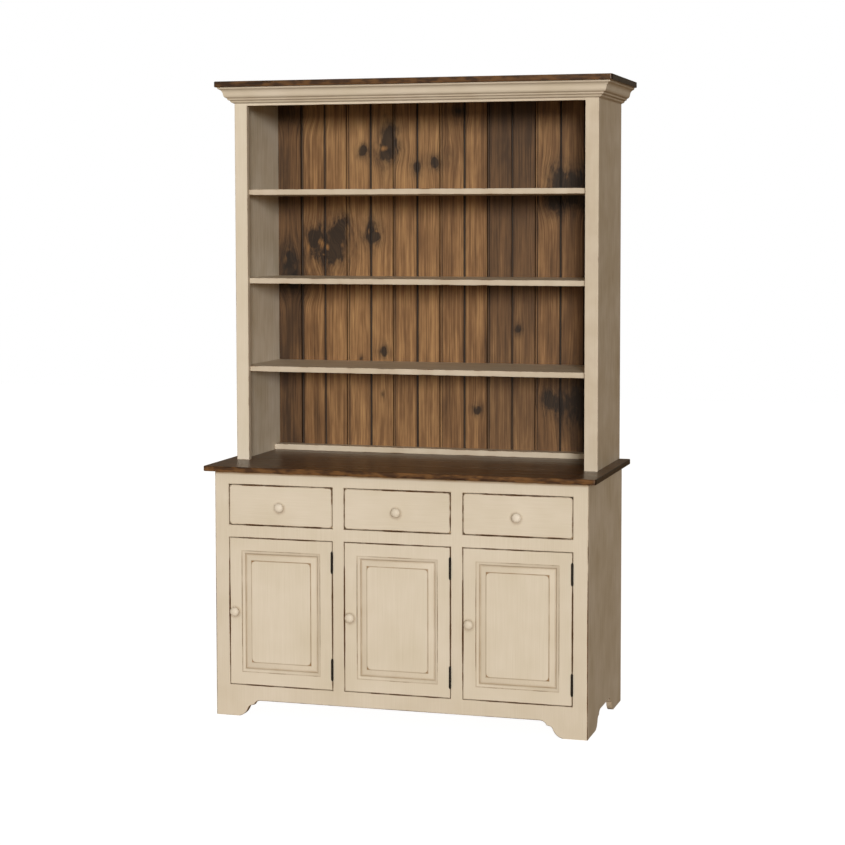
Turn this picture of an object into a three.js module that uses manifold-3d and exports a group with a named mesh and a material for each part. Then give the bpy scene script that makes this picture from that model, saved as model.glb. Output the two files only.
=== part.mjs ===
// Step back cupboard: three drawers over three doors under a stained counter, and an open hutch
// that stands back from the counter's front edge. Millimetres, +Z up, front towards -Y,
// origin on the floor under the middle of the whole piece.
import * as THREE from "three";
import { mergeVertices } from "three/addons/utils/BufferGeometryUtils.js";
import Module from "manifold-3d";

const wasm = await Module();
wasm.setup();

// Overall sizes
const baseWidth = 1302.5;
const baseDepth = 559;
const baseHeight = 844;
const hutchInset = 8.25;
const hutchHeight = 1291;
const hutchSetback = 179;

// Boards
const boardThickness = 19;
const frameThickness = 19;
const dadoDepth = 6;
const jointPlay = 0.2;
const cutOverrun = 5;
const weldDistance = 0.0001;

// Counter and cap boards
const counterThickness = 18;
const counterOverhang = 31;
const capThickness = 19.5;
const capOverhang = 55;
const topEdgeRound = 3.5;
const topCornerRound = 4;

// Face frame of the base
const baseStileWidth = 50.5;
const mullionWidth = 40.5;
const baseTopRailHeight = 44.5;
const middleRailHeight = 42;
const drawerOpeningHeight = 140;
const apronTop = 108;
const apronLine = 56;

// Bracket feet
const footWidth = 85;
const sideFootWidth = 131;
const scrollWidth = 74;

// Inside the base
const backPlyThickness = 6;
const plyRebate = 9;
const doorStopLip = 8;
const innerShelfSetback = 60;
const innerShelfShare = 0.46;

// Hutch
const hutchStileWidth = 45.5;
const hutchTopRailHeight = 62;
const shelfCount = 3;
const cleatHeight = 20;
const cleatDepth = 48;
const backBoardThickness = 12;
const backRebate = 9.5;
const backBoardCover = 174.8;
const beadWidth = 5;
const grooveWidth = 2.4;
const grooveDepth = 3.6;

// Crown moulding
const crownProjection = 46;
const crownDrop = 54;
const mitreGap = 0.2;

// Drawers
const frontGap = 2;
const drawerFrontThickness = 19;
const drawerCornerRound = 8;
const drawerEdgeRound = 2.5;
const drawerBackSpace = 67;
const drawerSideThickness = 12.7;
const drawerBottomThickness = 6;
const drawerBottomRise = 8;
const drawerBottomLet = 4;
const drawerSideGap = 2.5;
const drawerTopGap = 6;
const drawerRunGap = 0.3;
const drawerStopGap = 0.5;
const tailLength = 10;
const tailCount = 4;
const tailWideShare = 0.66;
const tailNeckShare = 0.46;

// Drawer runners and kickers
const runnerThickness = 19;
const runnerLip = 6;
const guideHeight = 16;
const stopThickness = 19;
const kickerThickness = 18;
const kickerGap = 1.5;

// Doors
const doorThickness = 18.5;
const doorFlat = 44;
const stickingWidth = 11;
const stickingQuirk = 1.1;
const bevelWidth = 23;
const doorEdgeEase = 1.5;
const panelGrooveDepth = 9;
const panelGrooveBack = 3.6;
const panelTongue = 5.4;
const panelPlay = 0.3;
const fieldDrop = 1.2;
const fieldStep = 1.6;

// Hinges
const hingeGap = 2.4;
const hingeInset = 72;
const hingeLeafHeight = 63.5;
const hingeLeafWidth = 16;
const hingeLeafThickness = 0.9;
const hingeSeatGap = 0.1;
const knuckleCount = 5;
const knuckleRadius = 4.2;
const knuckleGap = 0.3;
const hingePinRadius = 1.7;
const hingeBoreRadius = 2;
const finialHeight = 7.5;

// Knobs
const knobRadius = 16;
const knobProjection = 27;
const doorKnobInset = 22;
const drawerKnobDrop = 4;

// Steps round turned pieces, along curves and round the corners of boards
const knobSides = 20;
const hingeSides = 16;
const curveSteps = 5;
const cornerSteps = 2;

// Places that several pieces share
const halfBase = baseWidth / 2;
const halfHutch = halfBase - hutchInset;
const baseInner = halfBase - boardThickness;
const hutchInner = halfHutch - boardThickness;
const stileInner = halfBase - baseStileWidth;
const hutchDepth = baseDepth - hutchSetback;
const hutchBackFront = hutchDepth - backBoardThickness;
const backPlyFront = baseDepth - backPlyThickness;
const drawerLength = backPlyFront - drawerBackSpace;
const counterTop = baseHeight + counterThickness;
const openingWidth = (baseWidth - 2 * baseStileWidth - 2 * mullionWidth) / 3;
const openingPitch = openingWidth + mullionWidth;
const drawerTop = baseHeight - baseTopRailHeight;
const drawerBottom = drawerTop - drawerOpeningHeight;
const doorTop = drawerBottom - middleRailHeight;
const floorTop = apronTop + doorStopLip;
const floorBottom = floorTop - boardThickness;
const runnerBottom = drawerBottom - runnerThickness;
const innerShelfTop = floorTop + (runnerBottom - floorTop) * innerShelfShare;
const pinY = -knuckleRadius - knuckleGap;
const frameDepth = [0, frameThickness];
const sides = ["left", "middle", "right"];

// Paint, stain, bare wood and iron
const paint = { color: 0xd6c8ab, roughness: 0.5, metalness: 0 };
const stain = { color: 0x4e321d, roughness: 0.38, metalness: 0 };
const pine = { color: 0x7d5a38, roughness: 0.55, metalness: 0 };
const drawerWood = { color: 0xd9b98a, roughness: 0.6, metalness: 0 };
const iron = { color: 0x1d1b1a, roughness: 0.45, metalness: 0.9 };

// A named piece with its own material.
function piece(group, name, geometry, finish) {
  geometry.computeVertexNormals();
  const mesh = new THREE.Mesh(geometry, new THREE.MeshStandardMaterial(finish));
  mesh.name = name;
  group.add(mesh);
  return mesh;
}

// A board between two planes on each axis, given as pairs in any order.
function board(spanX, spanY, spanZ) {
  const geometry = new THREE.BoxGeometry(1, 1, 1);
  const at = geometry.attributes.position;
  const pick = (span, unit) => (unit < 0 ? Math.min(...span) : Math.max(...span));
  for (let i = 0; i < at.count; i++) {
    at.setXYZ(i, pick(spanX, at.getX(i)), pick(spanY, at.getY(i)), pick(spanZ, at.getZ(i)));
  }
  return geometry;
}

// An outline drawn in two axes, given its third by a function of the near and the far face.
function extruded(outline, place) {
  const geometry = new THREE.ExtrudeGeometry(outline, {
    depth: 1,
    bevelEnabled: false,
    curveSegments: curveSteps,
  });
  const at = geometry.attributes.position;
  for (let i = 0; i < at.count; i++) {
    at.setXYZ(i, ...place(at.getX(i), at.getY(i), at.getZ(i) > 1 / 2));
  }
  return geometry;
}

// An outline in Y and Z between two X planes.
function sideBoard(outline, spanX) {
  const [low, high] = [Math.min(...spanX), Math.max(...spanX)];
  return extruded(outline, (a, b, far) => [far ? high : low, a, b]);
}

// An outline in X and Z between two Y planes.
function frontBoard(outline, [front, back]) {
  return extruded(outline, (a, b, far) => [a, far ? front : back, b]);
}

// An outline in X and Y between two Z planes.
function flatBoard(outline, [low, high]) {
  return extruded(outline, (a, b, far) => [a, b, far ? high : low]);
}

// Swaps two corners of every triangle, after a mirror has turned the faces inwards.
function turned(geometry) {
  const at = geometry.attributes.position;
  for (let i = 0; i < at.count; i += 3) {
    const second = [at.getX(i + 1), at.getY(i + 1), at.getZ(i + 1)];
    at.setXYZ(i + 1, at.getX(i + 2), at.getY(i + 2), at.getZ(i + 2));
    at.setXYZ(i + 2, ...second);
  }
  return geometry;
}

function solid(geometry) {
  const bare = geometry.clone();
  bare.deleteAttribute("normal");
  bare.deleteAttribute("uv");
  const merged = mergeVertices(bare, weldDistance);
  return new wasm.Manifold(
    new wasm.Mesh({
      numProp: 3,
      vertProperties: merged.attributes.position.array,
      triVerts: new Uint32Array(merged.index.array),
    }),
  );
}

function geometryOf(body) {
  const mesh = body.getMesh();
  const geometry = new THREE.BufferGeometry();
  geometry.setAttribute("position", new THREE.BufferAttribute(mesh.vertProperties, 3));
  geometry.setIndex(new THREE.BufferAttribute(mesh.triVerts, 1));
  return geometry.toNonIndexed();
}

function cut(geometry, ...tools) {
  return geometryOf(tools.reduce((body, tool) => body.subtract(solid(tool)), solid(geometry)));
}

function join(...parts) {
  return geometryOf(parts.map(solid).reduce((body, part) => body.add(part)));
}

// Moves a span's two ends apart, so that a cutter runs past its board.
function past([low, high]) {
  return [low - cutOverrun, high + cutOverrun];
}

// Mesh over rings that all have the same number of points, closed round or with two end caps.
function loft(rings, closed) {
  const count = rings[0].length;
  const faces = [];
  const last = closed ? rings.length : rings.length - 1;
  for (let r = 0; r < last; r++) {
    const next = (r + 1) % rings.length;
    for (let i = 0; i < count; i++) {
      const j = (i + 1) % count;
      faces.push(r * count + i, r * count + j, next * count + j);
      faces.push(r * count + i, next * count + j, next * count + i);
    }
  }
  if (!closed) {
    for (let i = 1; i < count - 1; i++) {
      faces.push(0, i + 1, i);
      faces.push(last * count, last * count + i, last * count + i + 1);
    }
  }
  const geometry = new THREE.BufferGeometry();
  geometry.setAttribute("position", new THREE.Float32BufferAttribute(rings.flat(2), 3));
  geometry.setIndex(faces);
  return geometry.toNonIndexed();
}

function roundedRectangle(width, height, radius) {
  const [x, y] = [width / 2 - radius, height / 2 - radius];
  const outline = new THREE.Path();
  outline.absarc(x, -y, radius, -Math.PI / 2, 0);
  outline.absarc(x, y, radius, 0, Math.PI / 2);
  outline.absarc(-x, y, radius, Math.PI / 2, Math.PI);
  outline.absarc(-x, -y, radius, Math.PI, Math.PI * 1.5);
  return outline.getPoints(cornerSteps);
}

// Quarter of a round from a side wall to a face, as pairs of inset and rise.
function roundSteps(round) {
  return Array.from({ length: curveSteps }, (_, k) => {
    const angle = ((k / (curveSteps - 1)) * Math.PI) / 2;
    return [round * (1 - Math.cos(angle)), round * Math.sin(angle)];
  });
}

// A sticking, moulding or panel profile of [inset, depth] points run round a rectangle in XZ.
function mitredRings(width, height, profile) {
  return profile.map(([inset, depth]) => {
    const [x, z] = [width / 2 - inset, height / 2 - inset];
    return [
      [-x, depth, -z],
      [x, depth, -z],
      [x, depth, z],
      [-x, depth, z],
    ];
  });
}

// Points along a quadratic curve, both ends included.
function bend(from, corner, to) {
  const curve = new THREE.QuadraticBezierCurve(
    new THREE.Vector2(...from),
    new THREE.Vector2(...corner),
    new THREE.Vector2(...to),
  );
  return curve.getPoints(curveSteps).map((point) => [point.x, point.y]);
}

// Bracket foot, from its inner toe up to the apron line, as shares of its width and rise.
const scrollShares = {
  toeBend: [0.33, 0.12],
  knee: [0.45, 0.58],
  kneeBend: [0.5, 0.7],
  shoulder: [0.71, 0.73],
  topBend: [0.79, 0.97],
  top: [1, 1],
};

// A board's lower edge from left to right with a bracket foot at each end, and its square top.
function footedOutline([left, right], [leftToe, rightToe], top) {
  const s = scrollShares;
  const up = ([across, rise]) => [leftToe + across * scrollWidth, rise * apronLine];
  const down = ([across, rise]) => [rightToe - across * scrollWidth, rise * apronLine];
  const outline = new THREE.Shape();
  outline.moveTo(left, 0);
  outline.lineTo(leftToe, 0);
  outline.quadraticCurveTo(...up(s.toeBend), ...up(s.knee));
  outline.quadraticCurveTo(...up(s.kneeBend), ...up(s.shoulder));
  outline.quadraticCurveTo(...up(s.topBend), ...up(s.top));
  outline.lineTo(...down(s.top));
  outline.quadraticCurveTo(...down(s.topBend), ...down(s.shoulder));
  outline.quadraticCurveTo(...down(s.kneeBend), ...down(s.knee));
  outline.quadraticCurveTo(...down(s.toeBend), rightToe, 0);
  outline.lineTo(right, 0);
  outline.lineTo(right, top);
  outline.lineTo(left, top);
  return outline;
}

// Side of the base, behind the face frame, with its arch, its dados and the rebate for the back.
function baseSide(group, name, side) {
  const inner = side * baseInner;
  const outline = footedOutline(
    [frameThickness, baseDepth],
    [sideFootWidth, baseDepth - sideFootWidth],
    baseHeight,
  );
  const spanTo = (depth) => [inner - side * cutOverrun, inner + side * (depth + jointPlay)];
  const dado = (top, front) =>
    board(
      spanTo(dadoDepth),
      [front, baseDepth + cutOverrun],
      [top - boardThickness - jointPlay, top + jointPlay],
    );
  const rebate = board(
    spanTo(plyRebate),
    [backPlyFront, baseDepth + cutOverrun],
    [floorBottom - jointPlay, baseHeight + cutOverrun],
  );
  const geometry = cut(
    sideBoard(outline, [inner, side * halfBase]),
    dado(floorTop, frameThickness - cutOverrun),
    dado(innerShelfTop, innerShelfSetback - jointPlay),
    rebate,
  );
  piece(group, name, geometry, paint);
}

function baseCase(group) {
  baseSide(group, "base_side_left", -1);
  baseSide(group, "base_side_right", 1);
  const reach = baseInner + dadoDepth;
  const floor = board([-reach, reach], [frameThickness, backPlyFront], [floorBottom, floorTop]);
  piece(group, "base_floor", floor, drawerWood);
  const shelf = board(
    [-reach, reach],
    [innerShelfSetback, backPlyFront],
    [innerShelfTop - boardThickness, innerShelfTop],
  );
  piece(group, "base_inner_shelf", shelf, drawerWood);
  const ply = baseInner + plyRebate;
  const back = board([-ply, ply], [backPlyFront, baseDepth], [floorBottom, baseHeight]);
  piece(group, "base_back", back, drawerWood);
}

// Face frame of the base: the mullions cross in front of the middle rail, half and half.
function baseFrame(group) {
  const half = frameThickness / 2;
  const across = [-stileInner, stileInner];
  const railZ = [doorTop, drawerBottom];
  const stileZ = [0, baseHeight];
  const leftStile = board([-halfBase, -stileInner], frameDepth, stileZ);
  const rightStile = board([stileInner, halfBase], frameDepth, stileZ);
  piece(group, "base_stile_left", leftStile, paint);
  piece(group, "base_stile_right", rightStile, paint);
  piece(group, "base_top_rail", board(across, frameDepth, [drawerTop, baseHeight]), paint);
  const [leftSpan, rightSpan] = mullionSpans();
  const crossing = (spanX) => board(spanX, [-cutOverrun, half], past(railZ));
  const rail = cut(board(across, frameDepth, railZ), crossing(leftSpan), crossing(rightSpan));
  piece(group, "base_middle_rail", rail, paint);
  const mullion = (spanX) =>
    cut(
      board(spanX, frameDepth, [apronTop, drawerTop]),
      board(past(spanX), [half, frameThickness + cutOverrun], railZ),
    );
  piece(group, "base_mullion_left", mullion(leftSpan), paint);
  piece(group, "base_mullion_right", mullion(rightSpan), paint);
  const toe = halfBase - footWidth;
  const apron = footedOutline(across, [-toe, toe], apronTop);
  piece(group, "base_apron", frontBoard(apron, frameDepth), paint);
}

function mullionSpans() {
  return [-1, 1].map((side) => {
    const middle = (side * openingPitch) / 2;
    return [middle - mullionWidth / 2, middle + mullionWidth / 2];
  });
}

// Runners with guides beside and between the drawers, tied by a back rail with the drawer stop.
function drawerRunners(group) {
  const under = drawerSideGap + drawerSideThickness + runnerLip;
  const long = [frameThickness, backPlyFront];
  const stopFront = drawerLength + drawerStopGap;
  const runZ = [runnerBottom, drawerBottom];
  const guideZ = [runnerBottom, drawerBottom + guideHeight];
  const width = [-baseInner, baseInner];
  const parts = [
    board(width, [stopFront, backPlyFront], runZ),
    board(width, [stopFront, stopFront + stopThickness], guideZ),
  ];
  for (const side of [-1, 1]) {
    const inner = side * stileInner;
    parts.push(board([inner - side * under, side * baseInner], long, runZ));
    parts.push(board([inner, side * baseInner], long, guideZ));
  }
  for (const [low, high] of mullionSpans()) {
    parts.push(board([low - under, high + under], long, runZ));
    parts.push(board([low, high], long, guideZ));
  }
  piece(group, "drawer_runner_frame", join(...parts), drawerWood);
  const kickerBottom = drawerTop - drawerTopGap + kickerGap;
  mullionSpans().forEach(([low, high], k) => {
    const span = [low - under, high + under];
    const kicker = board(span, long, [kickerBottom, kickerBottom + kickerThickness]);
    piece(group, ["drawer_kicker_left", "drawer_kicker_right"][k], kicker, drawerWood);
  });
}

// A stained board with eased edges and slightly rounded corners, from its underside at zero.
function easedTop(halfWidth, [front, back], thickness) {
  const rim = roundSteps(topEdgeRound);
  const lower = rim.map(([inset, rise]) => [inset, topEdgeRound - rise]).reverse();
  const upper = rim.map(([inset, rise]) => [inset, thickness - topEdgeRound + rise]);
  const rings = [...lower, ...upper].map(([inset, height]) => {
    const [width, depth] = [2 * (halfWidth - inset), back - front - 2 * inset];
    return roundedRectangle(width, depth, topCornerRound - inset).map((point) => [
      point.x,
      point.y + (front + back) / 2,
      height,
    ]);
  });
  return loft(rings, false);
}

function counter(group) {
  const span = [-counterOverhang, baseDepth];
  const geometry = easedTop(halfBase + counterOverhang, span, counterThickness);
  piece(group, "counter_top", geometry, stain).position.z = baseHeight;
}

// Turned knob: foot, neck and mushroom head, as shares of its radius and projection.
const knobShares = [
  [0.62, 0],
  [0.62, 0.08],
  [0.5, 0.16],
  [0.4, 0.3],
  [0.42, 0.42],
  [0.66, 0.52],
  [0.92, 0.6],
  [1, 0.7],
  [0.97, 0.8],
  [0.8, 0.91],
  [0.5, 0.98],
  [0, 1],
];

function knob(group, name, x, z) {
  const outline = knobShares.map(
    ([across, out]) => new THREE.Vector2(across * knobRadius, out * knobProjection),
  );
  const geometry = new THREE.LatheGeometry([new THREE.Vector2(0, 0), ...outline], knobSides);
  geometry.rotateX(Math.PI);
  piece(group, name, geometry, paint).position.set(x, 0, z);
}

// Dovetail tails on the front end of a drawer side, or with some play the sockets for them.
function drawerTails(spanX, boxZ, play) {
  const pitch = (boxZ[1] - boxZ[0]) / tailCount;
  const tip = drawerFrontThickness - tailLength - play;
  const root = drawerFrontThickness;
  const wide = (pitch * tailWideShare) / 2 + play;
  const neck = (pitch * tailNeckShare) / 2 + play;
  return Array.from({ length: tailCount }, (_, k) => {
    const z = boxZ[0] + (k + 1 / 2) * pitch;
    const outline = new THREE.Shape();
    outline.moveTo(tip, z - wide);
    outline.lineTo(root, z - neck);
    outline.lineTo(root + cutOverrun, z - neck);
    outline.lineTo(root + cutOverrun, z + neck);
    outline.lineTo(root, z + neck);
    outline.lineTo(tip, z + wide);
    return sideBoard(outline, spanX);
  });
}

// A drawer: its front fits the opening, and its box is dovetailed into the back of the front.
function drawer(group, side, x) {
  const drawerGroup = new THREE.Group();
  drawerGroup.position.x = x;
  group.add(drawerGroup);
  const boxHalf = openingWidth / 2 - drawerSideGap;
  const innerHalf = boxHalf - drawerSideThickness;
  const boxZ = [drawerBottom + drawerRunGap, drawerTop - drawerTopGap];
  const bottomHalf = innerHalf + drawerBottomLet;
  const bottomLow = boxZ[0] + drawerBottomRise;
  const bottomHigh = bottomLow + drawerBottomThickness;
  const grooveFront = drawerFrontThickness - tailLength;
  const middle = (drawerBottom + drawerTop) / 2;

  const plate = drawerFrontPlate();
  plate.translate(0, 0, middle);
  const sockets = [-1, 1].flatMap((end) =>
    drawerTails([end * (innerHalf - jointPlay), end * openingWidth], boxZ, jointPlay),
  );
  const groove = board(
    [-bottomHalf - jointPlay, bottomHalf + jointPlay],
    [grooveFront - jointPlay, drawerFrontThickness + cutOverrun],
    [bottomLow - jointPlay, bottomHigh + jointPlay],
  );
  piece(drawerGroup, `drawer_${side}_front`, cut(plate, ...sockets, groove), paint);

  const sideLong = [drawerFrontThickness, drawerLength];
  const backLong = [drawerLength - drawerSideThickness, drawerLength];
  const bottomLong = [grooveFront, drawerLength - drawerSideThickness / 2];
  const box = [
    board([-boxHalf, boxHalf], backLong, boxZ),
    board([-bottomHalf, bottomHalf], bottomLong, [bottomLow, bottomHigh]),
  ];
  for (const end of [-1, 1]) {
    const span = [end * innerHalf, end * boxHalf];
    box.push(board(span, sideLong, boxZ), ...drawerTails(span, boxZ, 0));
  }
  piece(drawerGroup, `drawer_${side}_box`, join(...box), drawerWood);
  knob(drawerGroup, `drawer_${side}_knob`, 0, middle - drawerKnobDrop);
}

// Drawer front with its outer rim rounded over, from its back face forwards.
function drawerFrontPlate() {
  const width = openingWidth - 2 * frontGap;
  const height = drawerOpeningHeight - 2 * frontGap;
  const rim = roundSteps(drawerEdgeRound).map(([inset, rise]) => [inset, drawerEdgeRound - rise]);
  const rings = [[0, drawerFrontThickness], ...rim].map(([inset, depth]) =>
    roundedRectangle(width - 2 * inset, height - 2 * inset, drawerCornerRound - inset).map(
      (point) => [point.x, depth, point.y],
    ),
  );
  return loft(rings, false);
}

// A door: mitred frame with a moulded inner edge, and a raised panel loose in its groove.
function door(group, side, x) {
  const width = openingWidth - frontGap - hingeGap;
  const height = doorTop - apronTop - 2 * frontGap;
  const middle = (doorTop + apronTop) / 2;
  const doorGroup = new THREE.Group();
  doorGroup.position.x = x + (frontGap - hingeGap) / 2;
  group.add(doorGroup);
  const inner = doorFlat + stickingWidth;
  const grooveBack = doorThickness - panelGrooveBack;
  const grooveFront = grooveBack - panelTongue - 2 * panelPlay;
  const grooveEnd = inner - panelGrooveDepth;

  const frame = mitredRings(width, height, [
    [0, doorEdgeEase],
    [doorEdgeEase, 0],
    [doorFlat, 0],
    ...bend([doorFlat, stickingQuirk], [inner, stickingQuirk], [inner, grooveFront - stickingQuirk]),
    [inner, grooveFront],
    [grooveEnd, grooveFront],
    [grooveEnd, grooveBack],
    [inner, grooveBack],
    [inner, doorThickness],
    [0, doorThickness],
  ]);
  piece(doorGroup, `door_${side}_frame`, loft(frame, true), paint).position.z = middle;

  const edge = grooveEnd + panelPlay;
  const tongueFront = grooveFront + panelPlay;
  const tongueBack = grooveBack - panelPlay;
  const field = inner + bevelWidth;
  const panel = mitredRings(width, height, [
    [edge, tongueBack],
    [edge, tongueFront],
    [inner, tongueFront],
    [field, fieldDrop + fieldStep],
    [field, fieldDrop + fieldStep / 4],
    [field + fieldStep / 4, fieldDrop],
  ]);
  piece(doorGroup, `door_${side}_panel`, loft(panel, false), paint).position.z = middle;
  knob(doorGroup, `door_${side}_knob`, doorKnobInset - width / 2, middle);

  const hingeX = x + openingWidth / 2 - hingeGap / 2;
  hinge(group, doorGroup, `hinge_${side}_upper`, hingeX, doorTop - hingeInset);
  hinge(group, doorGroup, `hinge_${side}_lower`, hingeX, apronTop + hingeInset);
}

// A turned piece on the Z axis, from [radius, height] points.
function turnedOnZ(points) {
  const outline = points.map(([radius, height]) => new THREE.Vector2(radius, height));
  const geometry = new THREE.LatheGeometry(outline, hingeSides);
  geometry.rotateX(Math.PI / 2);
  return geometry;
}

function rod(radius, [low, high]) {
  return turnedOnZ([
    [0, low],
    [radius, low],
    [radius, high],
    [0, high],
  ]);
}

// Hinge pin with an olive-shaped tip at each end, as shares of knuckle radius and tip height.
const finialShares = [
  [0.9, 0],
  [1, 0.2],
  [0.78, 0.5],
  [0.38, 0.86],
  [0, 1],
];

function hingePin() {
  const end = hingeLeafHeight / 2;
  const tip = finialShares.map(([across, up]) => [
    across * knuckleRadius,
    end + up * finialHeight,
  ]);
  const upper = [[hingePinRadius, end], ...tip];
  const lower = upper.map(([radius, height]) => [radius, -height]).reverse();
  return turnedOnZ([...lower, ...upper]);
}

// One leaf: a plate against the wood on one side of the pin, and knuckles tied to it by tabs.
function hingeLeaf(side, spans) {
  const seat = side * (hingeGap / 2 - hingeSeatGap);
  const thick = [seat - side * hingeLeafThickness, seat];
  const tabStart = (hingeBoreRadius + knuckleRadius) / 2;
  const plate = board(
    thick,
    [-pinY, hingeLeafWidth - pinY],
    [-hingeLeafHeight / 2, hingeLeafHeight / 2],
  );
  const knuckles = spans.flatMap((span) => [
    rod(knuckleRadius, span),
    board(thick, [tabStart, hingeLeafWidth / 2 - pinY], span),
  ]);
  return join(plate, ...knuckles);
}

// Butt hinge: the frame's leaf carries the pin, and the door's leaf turns on it.
function hinge(frameGroup, doorGroup, name, x, z) {
  const pitch = hingeLeafHeight / knuckleCount;
  const spans = Array.from({ length: knuckleCount }, (_, k) => [
    k * pitch - hingeLeafHeight / 2 + knuckleGap / 2,
    (k + 1) * pitch - hingeLeafHeight / 2 - knuckleGap / 2,
  ]);
  const outerSpans = spans.filter((_, k) => k % 2 === 0);
  const innerSpans = spans.filter((_, k) => k % 2 === 1);
  const bore = rod(hingeBoreRadius, [-hingeLeafHeight, hingeLeafHeight]);
  const frameLeaf = join(hingeLeaf(1, outerSpans), hingePin());
  const doorLeaf = cut(hingeLeaf(-1, innerSpans), bore);
  const fixed = piece(frameGroup, name + "_frame_leaf", frameLeaf, iron);
  const turning = piece(doorGroup, name + "_door_leaf", doorLeaf, iron);
  fixed.position.set(x, pinY, z);
  turning.position.set(x - doorGroup.position.x, pinY, z);
}

// Hutch side, with a dado for each shelf and a rebate for the back boards.
function hutchSide(group, name, side) {
  const inner = side * hutchInner;
  const spanTo = (depth) => [inner - side * cutOverrun, inner + side * (depth + jointPlay)];
  const dados = shelfTops().map((top) =>
    board(
      spanTo(dadoDepth),
      past([frameThickness, hutchDepth]),
      [top - boardThickness - jointPlay, top + jointPlay],
    ),
  );
  const rebate = board(
    spanTo(backRebate),
    [hutchBackFront, hutchDepth + cutOverrun],
    past([0, hutchHeight]),
  );
  const plank = board([inner, side * halfHutch], [frameThickness, hutchDepth], [0, hutchHeight]);
  piece(group, name, cut(plank, ...dados, rebate), paint);
}

// The bays between the cleat, the shelves and the top rail are all the same height.
function shelfTops() {
  const open = hutchHeight - hutchTopRailHeight - cleatHeight - shelfCount * boardThickness;
  const pitch = open / (shelfCount + 1) + boardThickness;
  return Array.from({ length: shelfCount }, (_, k) => cleatHeight + (k + 1) * pitch);
}

// Tongue and groove back with a bead at each joint and one down the middle of each board.
function hutchBack(group) {
  const half = hutchInner + backRebate;
  const step = backBoardCover / 2;
  const beads = Math.floor((hutchInner - step / 2) / step);
  const outline = new THREE.Shape();
  outline.moveTo(-half, hutchDepth);
  outline.lineTo(-half, hutchBackFront);
  for (let k = -beads; k <= beads; k++) beadAcross(outline, k * step);
  outline.lineTo(half, hutchBackFront);
  outline.lineTo(half, hutchDepth);
  piece(group, "hutch_back", flatBoard(outline, [0, hutchHeight]), pine);
}

// Two grooves with a round bead between them, from left to right across the boards' face.
function beadAcross(outline, x) {
  const bead = beadWidth / 2;
  const low = hutchBackFront + grooveDepth;
  outline.lineTo(x - bead - grooveWidth, hutchBackFront);
  outline.lineTo(x - bead, low);
  outline.quadraticCurveTo(x - bead, hutchBackFront, x, hutchBackFront);
  outline.quadraticCurveTo(x + bead, hutchBackFront, x + bead, low);
  outline.lineTo(x + bead + grooveWidth, hutchBackFront);
}

function hutchCase(group) {
  hutchSide(group, "hutch_side_left", -1);
  hutchSide(group, "hutch_side_right", 1);
  const high = [0, hutchHeight];
  const inner = halfHutch - hutchStileWidth;
  piece(group, "hutch_stile_left", board([-halfHutch, -inner], frameDepth, high), paint);
  piece(group, "hutch_stile_right", board([inner, halfHutch], frameDepth, high), paint);
  const railZ = [hutchHeight - hutchTopRailHeight, hutchHeight];
  piece(group, "hutch_top_rail", board([-inner, inner], frameDepth, railZ), paint);
  const reach = hutchInner + dadoDepth;
  const shelfLong = [frameThickness, hutchBackFront];
  shelfTops().forEach((top, k) => {
    const shelf = board([-reach, reach], shelfLong, [top - boardThickness, top]);
    piece(group, `hutch_shelf_${k + 1}`, shelf, paint);
  });
  const cleatLong = [hutchBackFront - cleatDepth, hutchBackFront];
  const cleat = board([-hutchInner, hutchInner], cleatLong, [0, cleatHeight]);
  piece(group, "hutch_back_cleat", cleat, paint);
  hutchBack(group);
}

// Crown section: a fillet, an ogee and two small beads, as shares of projection and drop.
const crownShares = {
  fillet: [0.96, 0.11],
  quirk: [0.9, 0.13],
  coveBend: [0.7, 0.2],
  waist: [0.66, 0.42],
  bellyBend: [0.64, 0.6],
  belly: [0.5, 0.66],
  step: [0.42, 0.69],
  beadBend: [0.43, 0.8],
  beadFoot: [0.27, 0.82],
  lowStep: [0.24, 0.85],
  lowBend: [0.23, 0.95],
  lowFoot: [0.08, 0.97],
  foot: [0.05, 1],
};

function crownSection() {
  const at = ([out, down]) => [out * crownProjection, -down * crownDrop];
  const s = crownShares;
  const outline = new THREE.Shape();
  outline.moveTo(0, 0);
  outline.lineTo(0, -crownDrop);
  outline.lineTo(...at(s.foot));
  outline.lineTo(...at(s.lowFoot));
  outline.quadraticCurveTo(...at(s.lowBend), ...at(s.lowStep));
  outline.lineTo(...at(s.beadFoot));
  outline.quadraticCurveTo(...at(s.beadBend), ...at(s.step));
  outline.lineTo(...at(s.belly));
  outline.quadraticCurveTo(...at(s.bellyBend), ...at(s.waist));
  outline.quadraticCurveTo(...at(s.coveBend), ...at(s.quirk));
  outline.lineTo(...at(s.fillet));
  outline.lineTo(crownProjection, 0);
  return outline;
}

// Crown moulding: the front length is mitred at both ends, each return at its front end.
function crown(group) {
  const section = crownSection();
  const front = extruded(section, (out, drop, far) => [
    (far ? -1 : 1) * (halfHutch + out - mitreGap),
    -out,
    hutchHeight + drop,
  ]);
  piece(group, "crown_front", front, paint);
  const returned = (side) =>
    extruded(section, (out, drop, far) => [
      side * (halfHutch + out),
      far ? -out : hutchDepth,
      hutchHeight + drop,
    ]);
  piece(group, "crown_left", turned(returned(-1)), paint);
  piece(group, "crown_right", returned(1), paint);
}

function cap(group) {
  const geometry = easedTop(halfHutch + capOverhang, [-capOverhang, hutchDepth], capThickness);
  piece(group, "cap_board", geometry, stain).position.z = hutchHeight;
}

const cupboard = new THREE.Group();
cupboard.name = "step_back_cupboard";
cupboard.position.y = (counterOverhang - baseDepth) / 2;

const base = new THREE.Group();
cupboard.add(base);
baseCase(base);
baseFrame(base);
drawerRunners(base);
counter(base);
sides.forEach((side, k) => {
  const x = (k - 1) * openingPitch;
  drawer(base, side, x);
  door(base, side, x);
});

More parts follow.
